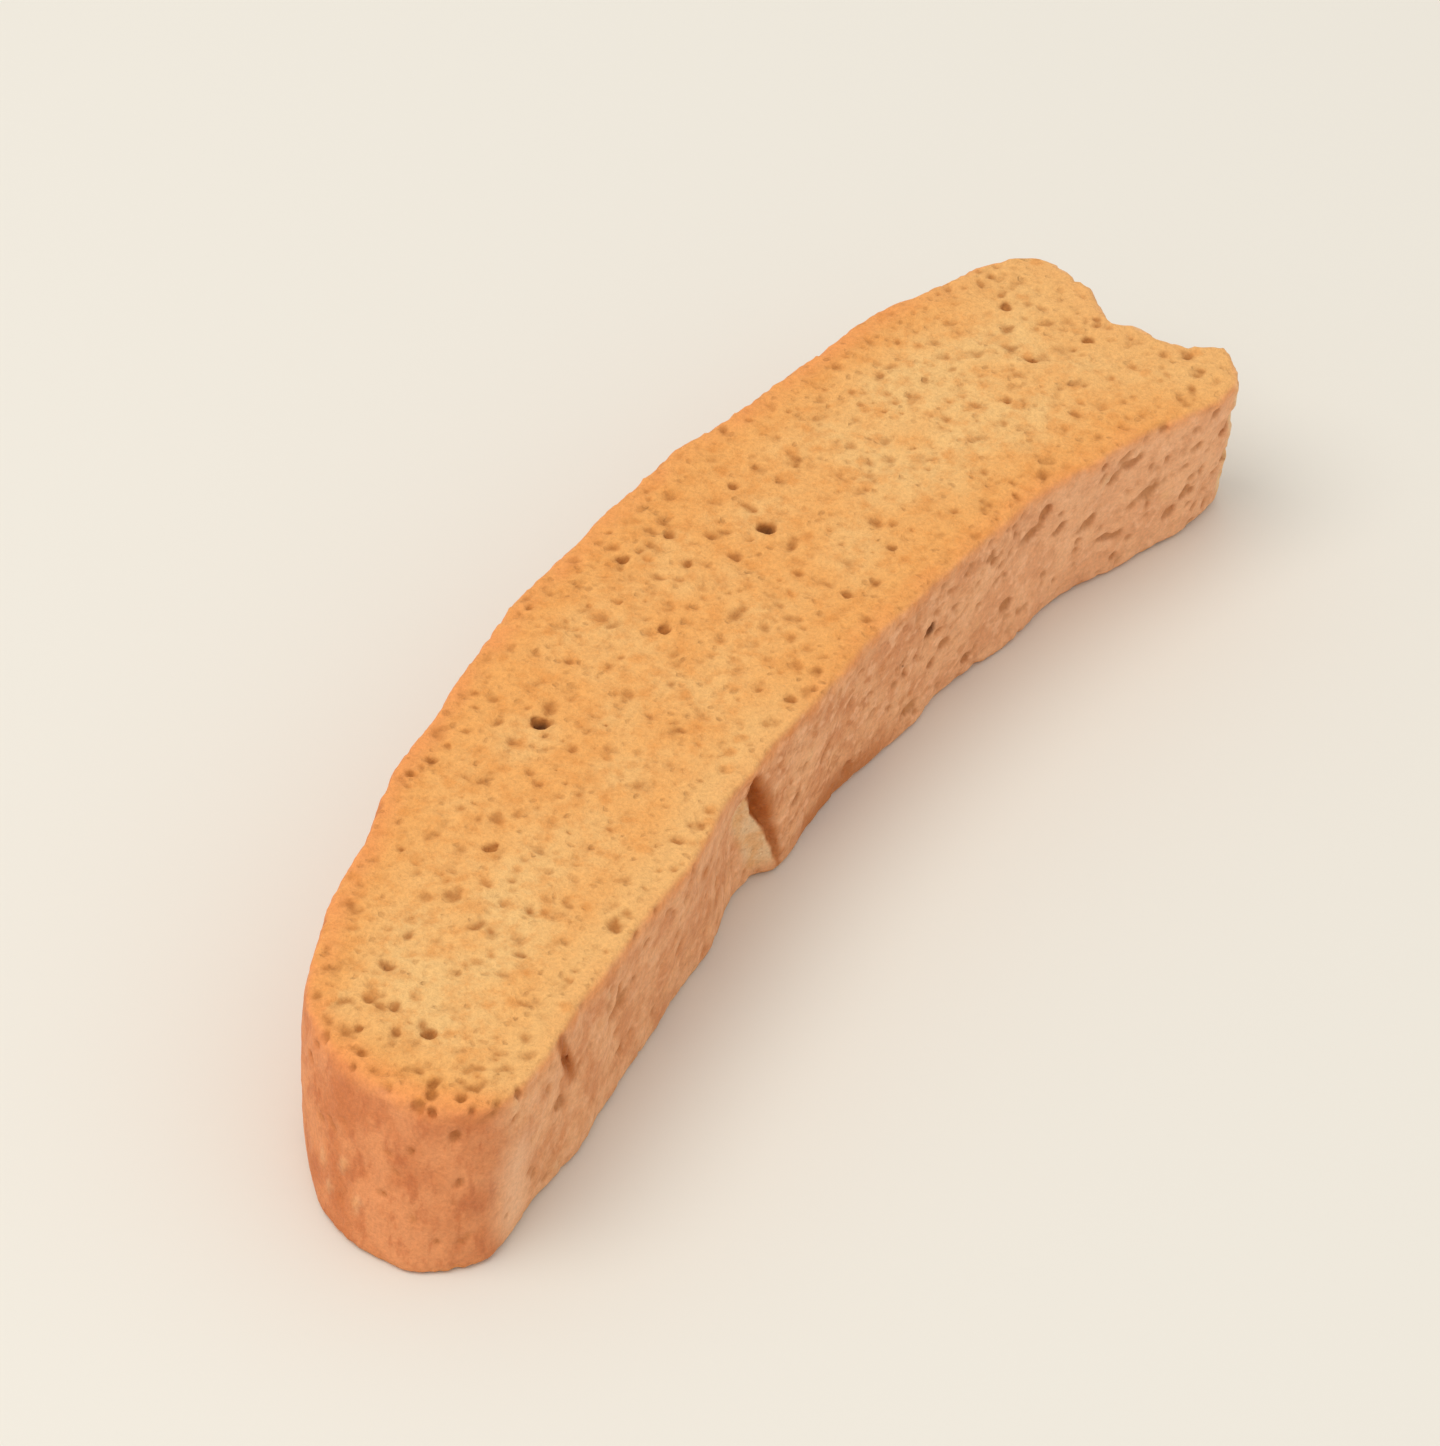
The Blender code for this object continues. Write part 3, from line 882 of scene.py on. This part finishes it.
stain_and_crack_shade = np.clip(1.0 - np.abs(past_core + 0.2) / np.where(past_core > -0.2, halo, 0.7), 0.0, 1.0)
stain_and_crack_shade *= ease(0.98, 0.86, level_points) * mix(0.5, 1.0, bell(level_points, 0.7, 0.3))
# The short crack near the rounded end is stained brown too, partly as painted shade in it.
past_crack = points[:, 0] - crack_x - CORNER_CRACK_LEAN * (crack_high - level_points)
cracked = bell(past_crack, 0.0, 1.0) * ease(crack_low - 0.2, crack_low + 0.05, level_points)
stain_and_crack_shade = np.maximum(stain_and_crack_shade, 0.65 * cracked)
toasted = bell(points[:, 0], 5.0, 12.0) * ease(0.34, 0.05, level_points) * ease(-1.5, 1.5, past_step)
stain_and_crack_shade = np.maximum(stain_and_crack_shade, 0.45 * toasted)
for smudge_x, smudge_level, reach, strength in SMUDGES:
    height = points[:, 2] - smudge_level * THICKNESS
    away = np.hypot(points[:, 0] - smudge_x, height / 0.8) + 0.8 * grain(points, 1.5)
    stain_and_crack_shade = np.maximum(stain_and_crack_shade, strength * bell(np.maximum(away, 0.0), 0.0, reach))
stain_and_crack_shade *= on_base
# Painted highlight: a pale patch on the walls round the rounded end's corner, from near the floor to
# about three quarters up.
from_corner_highlight = np.hypot(points[:, 0] - HIGHLIGHT_AT[0], points[:, 1] - HIGHLIGHT_AT[1])
corner_highlight = bell(from_corner_highlight, 0.0, HIGHLIGHT_REACH) * ease(0.75, 0.5, level_points)
corner_highlight = corner_highlight * ease(0.0, 0.15, level_points)
# The deep hole of the base side is painted dark inside: painted shade.
from_speck = np.linalg.norm(points - speck_place[0], axis=1)
speck = ease(speck_radius + 0.1, 0.6 * speck_radius, from_speck)
# Pits are browned and darkened by their depth: a brown tint and painted shade in the hollows, weaker
# where the crumb is stained or torn, and on the walls.
plain = 1.0 - np.maximum(ease(0.1, 0.5, stain_and_crack_shade), 0.72 * broken * wall_share)
plain = plain * (1.0 - 0.3 * wall_share)
store("inside", np.clip(-wall_here, 0.0, 20.0))
store("crust", wall_share)
store("pit", ease(0.02, 0.4, carved) * plain)
store("deep", np.maximum(ease(0.5, 1.1, carved) * plain, speck))
store("stain_and_crack_shade", wall_share * stain_and_crack_shade)
store("corner_highlight", wall_share * corner_highlight)
fresh = wall_share * np.maximum(0.9 * ease(0.1, 0.8, torn), 0.85 * broken)
store("fresh", np.clip(fresh + 0.5 * wall_share * sampled(crumb_mask, points), 0.0, 1.0))
store("base_side", on_base)


# Materials.
def linear(colour):
    """A colour's linear values, from its sRGB values of 0 to 255."""
    shares = [value / 255 for value in colour]
    return tuple(c / 12.92 if c <= 0.04045 else ((c + 0.055) / 1.055) ** 2.4 for c in shares)


class Shader:
    """A short way to write a node tree."""

    def __init__(self, name):
        self.material = bpy.data.materials.new(name)
        self.material.use_nodes = True
        self.tree = self.material.node_tree
        self.surface = self.tree.nodes["Principled BSDF"]

    def node(self, kind, inputs=(), **settings):
        made = self.tree.nodes.new(kind)
        for key, value in settings.items():
            setattr(made, key, value)
        for key, value in dict(inputs).items():
            self.set(made.inputs[key], value)
        return made

    def set(self, socket, value):
        if isinstance(value, bpy.types.NodeSocket):
            self.tree.links.new(value, socket)
        elif isinstance(value, tuple) and len(value) == 3 and socket.type == "RGBA":
            socket.default_value = (*linear(value), 1.0)
        else:
            socket.default_value = value

    def math(self, operation, a, b=0.0, clamp=False):
        return self.node("ShaderNodeMath", {0: a, 1: b}, operation=operation, use_clamp=clamp).outputs[0]

    def attribute(self, name):
        return self.node("ShaderNodeAttribute", attribute_name=name).outputs["Fac"]

    def ramp(self, value, low, high, to_low=0.0, to_high=1.0):
        inputs = {"Value": value, "From Min": low, "From Max": high, "To Min": to_low, "To Max": to_high}
        return self.node("ShaderNodeMapRange", inputs, interpolation_type="SMOOTHSTEP").outputs["Result"]

    def blend(self, factor, a, b, kind="MIX"):
        made = self.tree.nodes.new("ShaderNodeMix")
        made.data_type = "RGBA"
        made.blend_type = kind
        made.clamp_factor = True
        self.set(made.inputs[0], factor)
        self.set(made.inputs[6], a)
        self.set(made.inputs[7], b)
        return made.outputs[2]

    def mix_values(self, factor, a, b):
        made = self.node("ShaderNodeMix", data_type="FLOAT")
        for index, value in ((0, factor), (2, a), (3, b)):
            self.set(made.inputs[index], value)
        return made.outputs[0]

    def noise(self, place, size, detail=2.0, roughness=0.5):
        inputs = {"Vector": place, "Scale": 1.0 / size, "Detail": detail, "Roughness": roughness}
        return self.node("ShaderNodeTexNoise", inputs).outputs["Fac"]

    def cells(self, place, size, output="Distance"):
        inputs = {"Vector": place, "Scale": 1.0 / size}
        return self.node("ShaderNodeTexVoronoi", inputs).outputs[output]


def crumb_colour(s, place, swayed, small_holes):
    """Crumb of the cut faces: gold in the middle of the length, paler towards both ends."""
    along = s.node("ShaderNodeSeparateXYZ", {0: place}).outputs[0]
    inside = s.attribute("inside")
    base_side = s.attribute("base_side")
    reach = s.math("ABSOLUTE", s.math("ADD", along, 4.0))
    ends = s.ramp(reach, 14.0, 46.0, 0.0, 0.5)
    broad = s.ramp(s.noise(place, 9.0, 3.0), 0.38, 0.64, 0.0, 0.6)
    core = s.ramp(inside, 1.0, 9.0)
    paleness = s.math("MULTIPLY", s.math("ADD", s.math("ADD", ends, broad), 0.05), core, True)
    crumb = s.blend(paleness, CRUMB_GOLD, CRUMB_PALE)
    cloud = s.ramp(s.noise(place, 1.7, 3.0, 0.6), 0.42, 0.7, 0.0, 0.45)
    crumb = s.blend(cloud, crumb, CRUMB_FLECK)

    # The rims are orange, least along the near half of the base side and at the far end.
    rim = s.ramp(inside, 0.3, 3.2, 0.8, 0.0)
    rim = s.math("MULTIPLY", rim, s.ramp(s.noise(place, 5.0, 2.0), 0.35, 0.62, 0.35, 1.0))
    near_base = s.math("MULTIPLY", base_side, s.ramp(along, -8.0, 4.0, 1.0, 0.0))
    rim = s.math("MULTIPLY", rim, s.ramp(base_side, 0.0, 1.0, 1.0, 0.6))
    rim = s.math("MULTIPLY", rim, s.ramp(along, 44.0, 56.0, 1.0, 0.5))
    rim = s.math("MULTIPLY", rim, s.ramp(near_base, 0.0, 1.0, 1.0, 0.4))
    near_pale = s.math("MULTIPLY", near_base, s.ramp(inside, 2.0, 6.0, 0.7, 0.0))
    crumb = s.blend(near_pale, crumb, CRUMB_PALE)
    crumb = s.blend(rim, crumb, RIM_ORANGE)

    # Tiny holes of the relief are painted browner: a brown tint and painted shade.
    crumb = s.blend(s.math("MULTIPLY", small_holes, 0.35), crumb, PIT_BROWN_AND_SHADE)
    crumb = s.blend(s.ramp(along, 48.0, 60.0, 0.0, 0.55), crumb, CRUMB_PALE)
    # Shallow pits are painted as soft brown spots with no hollow: a brown tint and painted shade.
    shallow = s.ramp(s.cells(swayed, 3.1), 0.1, 0.3, 0.45, 0.0)
    return s.blend(shallow, crumb, CRUMB_FLECK)


def skin_colour(s, place):
    """Crusts: pinkish brown on the base side, redder brown on the end and the dome."""
    along = s.node("ShaderNodeSeparateXYZ", {0: place}).outputs
    patches = s.ramp(s.noise(place, 4.6, 4.0, 0.62), 0.36, 0.66)
    base_crust = s.blend(patches, BASE_CRUST, BASE_CRUST_DARK)
    calm = s.ramp(along[0], -20.0, -8.0, 0.55, 1.0)
    blotches = s.ramp(s.noise(place, 1.5, 3.0, 0.6), 0.47, 0.68, 0.0, 0.6)
    base_crust = s.blend(s.math("MULTIPLY", blotches, calm), base_crust, BASE_CRUST_STAIN)
    light = s.ramp(s.noise(place, 1.2, 2.0, 0.5), 0.52, 0.68, 0.0, 0.6)
    base_crust = s.blend(s.math("MULTIPLY", light, calm), base_crust, BASE_CRUST_LIGHT)
    far_light = s.ramp(along[0], 6.0, 44.0, 0.0, 0.45)
    base_crust = s.blend(far_light, base_crust, BASE_CRUST_LIGHT)

    end_patches = s.ramp(s.noise(place, 6.0, 4.0, 0.55), 0.38, 0.68)
    end_crust = s.blend(end_patches, END_CRUST, END_CRUST_DARK)
    upright = {0: place, 1: (1.0, 1.0, 0.45)}
    tall = s.node("ShaderNodeVectorMath", upright, operation="MULTIPLY").outputs[0]
    streaks = s.ramp(s.noise(tall, 1.3, 3.0, 0.6), 0.5, 0.7, 0.0, 0.5)
    end_crust = s.blend(streaks, end_crust, END_CRUST_RED)

    skin = s.blend(s.attribute("base_side"), end_crust, base_crust)
    lip = s.ramp(along[2], THICKNESS - 2.6, THICKNESS - 0.3, 0.0, 0.75)
    lip = s.math("MULTIPLY", lip, s.ramp(s.noise(place, 2.2, 3.0), 0.3, 0.6, 0.35, 1.0))
    skin = s.blend(lip, skin, RIM_ORANGE)
    # The painted highlight at the rounded end's corner is laid over the crust.
    return s.blend(s.math("MULTIPLY", s.attribute("corner_highlight"), 0.75), skin, HIGHLIGHT_PALE)


def marked(s, colour, place, grit):
    """The colour with torn crumb, stains with painted shade in the cracks, pits with a brown tint and
    painted shade, and fine speckle laid over it.
    """
    torn = s.blend(s.ramp(s.noise(place, 2.4, 3.0), 0.35, 0.65, 0.1, 0.7), FRESH_CRUMB, CRUMB_GOLD)
    colour = s.blend(s.attribute("fresh"), colour, torn)
    stain_and_crack_shade = s.attribute("stain_and_crack_shade")
    # Stains, and painted shade in the cracks: browner, then crack brown, then darkest at the step
    # crack's core.
    colour = s.blend(s.ramp(stain_and_crack_shade, 0.08, 0.5, 0.0, 0.9), colour, BASE_CRUST_STAIN)
    colour = s.blend(s.ramp(stain_and_crack_shade, 0.42, 0.86), colour, CRACK_BROWN_AND_SHADE)
    colour = s.blend(s.ramp(stain_and_crack_shade, 0.75, 1.0, 0.0, 0.35), colour, PIT_DARK_AND_SHADE)
    # Carved pits get a brown tint and painted shade, darkest in the deepest.
    colour = s.blend(s.math("MULTIPLY", s.attribute("pit"), 0.85), colour, PIT_BROWN_AND_SHADE)
    colour = s.blend(s.math("MULTIPLY", s.attribute("deep"), 0.9), colour, PIT_DARK_AND_SHADE)
    speckle = s.ramp(grit, 0.28, 0.72, 0.87, 1.07)
    shade = s.node("ShaderNodeCombineColor", {0: speckle, 1: speckle, 2: speckle}).outputs[0]
    return s.blend(1.0, colour, shade, "MULTIPLY")


def crumb_material():
    """Crumb and crusts in one material, by the values stored at each vertex."""
    s = Shader("rusk_baked_crumb")
    spot = s.node("ShaderNodeTexCoord").outputs["Object"]
    place = s.node("ShaderNodeVectorMath", {0: spot, "Scale": 1.0 / MM}, operation="SCALE").outputs[0]
    bend = {"Vector": place, "Scale": 1.1, "Detail": 1.0}
    bent = s.node("ShaderNodeTexNoise", bend).outputs["Color"]
    sway = {0: bent, 1: (0.9, 0.9, 0.9), 2: place}
    swayed = s.node("ShaderNodeVectorMath", sway, operation="MULTIPLY_ADD").outputs[0]
    crust = s.attribute("crust")

    # Fine structure shared by colour and relief.
    grit = s.noise(place, 0.36, 4.0, 0.7)
    small_holes = s.ramp(s.cells(swayed, 0.95), 0.12, 0.45, 1.0, 0.0)
    chosen = s.node("ShaderNodeSeparateColor", {0: s.cells(swayed, 0.95, "Color")}).outputs[0]
    small_holes = s.math("MULTIPLY", small_holes, s.ramp(chosen, 0.45, 1.0, 0.0, 1.0))
    wrinkles = s.noise(place, 1.9, 3.0, 0.5)

    crumb = crumb_colour(s, place, swayed, small_holes)
    colour = s.blend(crust, crumb, skin_colour(s, place))
    s.set(s.surface.inputs["Base Color"], marked(s, colour, place, grit))

    # Relief finer than the mesh.
    holes = s.math("MULTIPLY", small_holes, 0.5)
    crumb_relief = s.math("SUBTRACT", s.math("MULTIPLY", grit, 0.7), holes)
    skin_relief = s.math("ADD", s.math("MULTIPLY", grit, 0.35), s.math("MULTIPLY", wrinkles, 0.5))
    whole_crust = s.math("SUBTRACT", crust, s.attribute("fresh"), True)
    relief = s.mix_values(whole_crust, crumb_relief, skin_relief)
    bump = s.node("ShaderNodeBump", {"Height": relief, "Strength": 0.8, "Distance": 0.4 * MM})
    s.set(s.surface.inputs["Normal"], bump.outputs[0])

    # The crusts are a little glossier than the crumb.
    gloss = s.ramp(s.noise(place, 1.7, 2.0), 0.35, 0.7, 0.62, 0.8)
    s.set(s.surface.inputs["Roughness"], s.mix_values(crust, CRUMB_ROUGHNESS, gloss))
    s.surface.inputs["Specular IOR Level"].default_value = SPECULAR
    return s.material


mesh.materials.append(crumb_material())
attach(rusk, "root")
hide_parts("rusk")

# A plain pale floor.
floor_mesh = bpy.data.meshes.new("pale_floor")
floor_corners = [(x * FLOOR_HALF, y * FLOOR_HALF, 0) for x, y in ((-1, -1), (1, -1), (1, 1), (-1, 1))]
floor_mesh.from_pydata(floor_corners, [], [(0, 1, 2, 3)])
floor = bpy.data.objects.new("pale_floor", floor_mesh)
bpy.context.scene.collection.objects.link(floor)
paint = Shader("floor_white")
paint.set(paint.surface.inputs["Base Color"], FLOOR_WHITE)
paint.surface.inputs["Roughness"].default_value = FLOOR_ROUGHNESS
floor_mesh.materials.append(paint.material)

# Soft studio light: a pale sky and one large lamp from the left.
world = bpy.data.worlds.new("studio")
world.use_nodes = True
world.node_tree.nodes["Background"].inputs["Color"].default_value = SKY
world.node_tree.nodes["Background"].inputs["Strength"].default_value = SKY_STRENGTH
bpy.context.scene.world = world


def lamp(name, toward, distance, size, power, colour):
    """A round lamp in the given direction that shines at the rusk."""
    data = bpy.data.lights.new(name, "AREA")
    data.shape = "DISK"
    data.size = size
    data.energy = power
    data.color = colour
    made = bpy.data.objects.new(name, data)
    direction = Vector(toward).normalized()
    made.location = direction * distance
    made.rotation_euler = direction.to_track_quat("Z", "Y").to_euler()
    bpy.context.scene.collection.objects.link(made)


lamp("key", KEY_TOWARD, KEY_DISTANCE, KEY_SIZE, KEY_POWER, KEY_COLOUR)

# The camera, turned by the least angle from its measured line of sight to aim at the rusk.
right = Vector(CAMERA_RIGHT).normalized()
look = Vector(CAMERA_LOOK).normalized()
lift = right.cross(look)
measured_turn = Matrix((right, lift, -look)).transposed()
position = Vector(CAMERA_AT)
aim = (Vector(CAMERA_AIM) - position).normalized()
swing = look.rotation_difference(aim).to_matrix()
camera_data = bpy.data.cameras.new("camera")
camera_data.sensor_fit = "HORIZONTAL"
camera_data.sensor_width = SENSOR_MM
camera_data.lens = LENS_MM
camera_data.clip_start = 0.01
camera = bpy.data.objects.new("camera", camera_data)
camera.matrix_world = Matrix.Translation(position * MM) @ (swing @ measured_turn).to_4x4()
bpy.context.scene.collection.objects.link(camera)
bpy.context.scene.camera = camera
bpy.context.scene.view_settings.view_transform = "Standard"
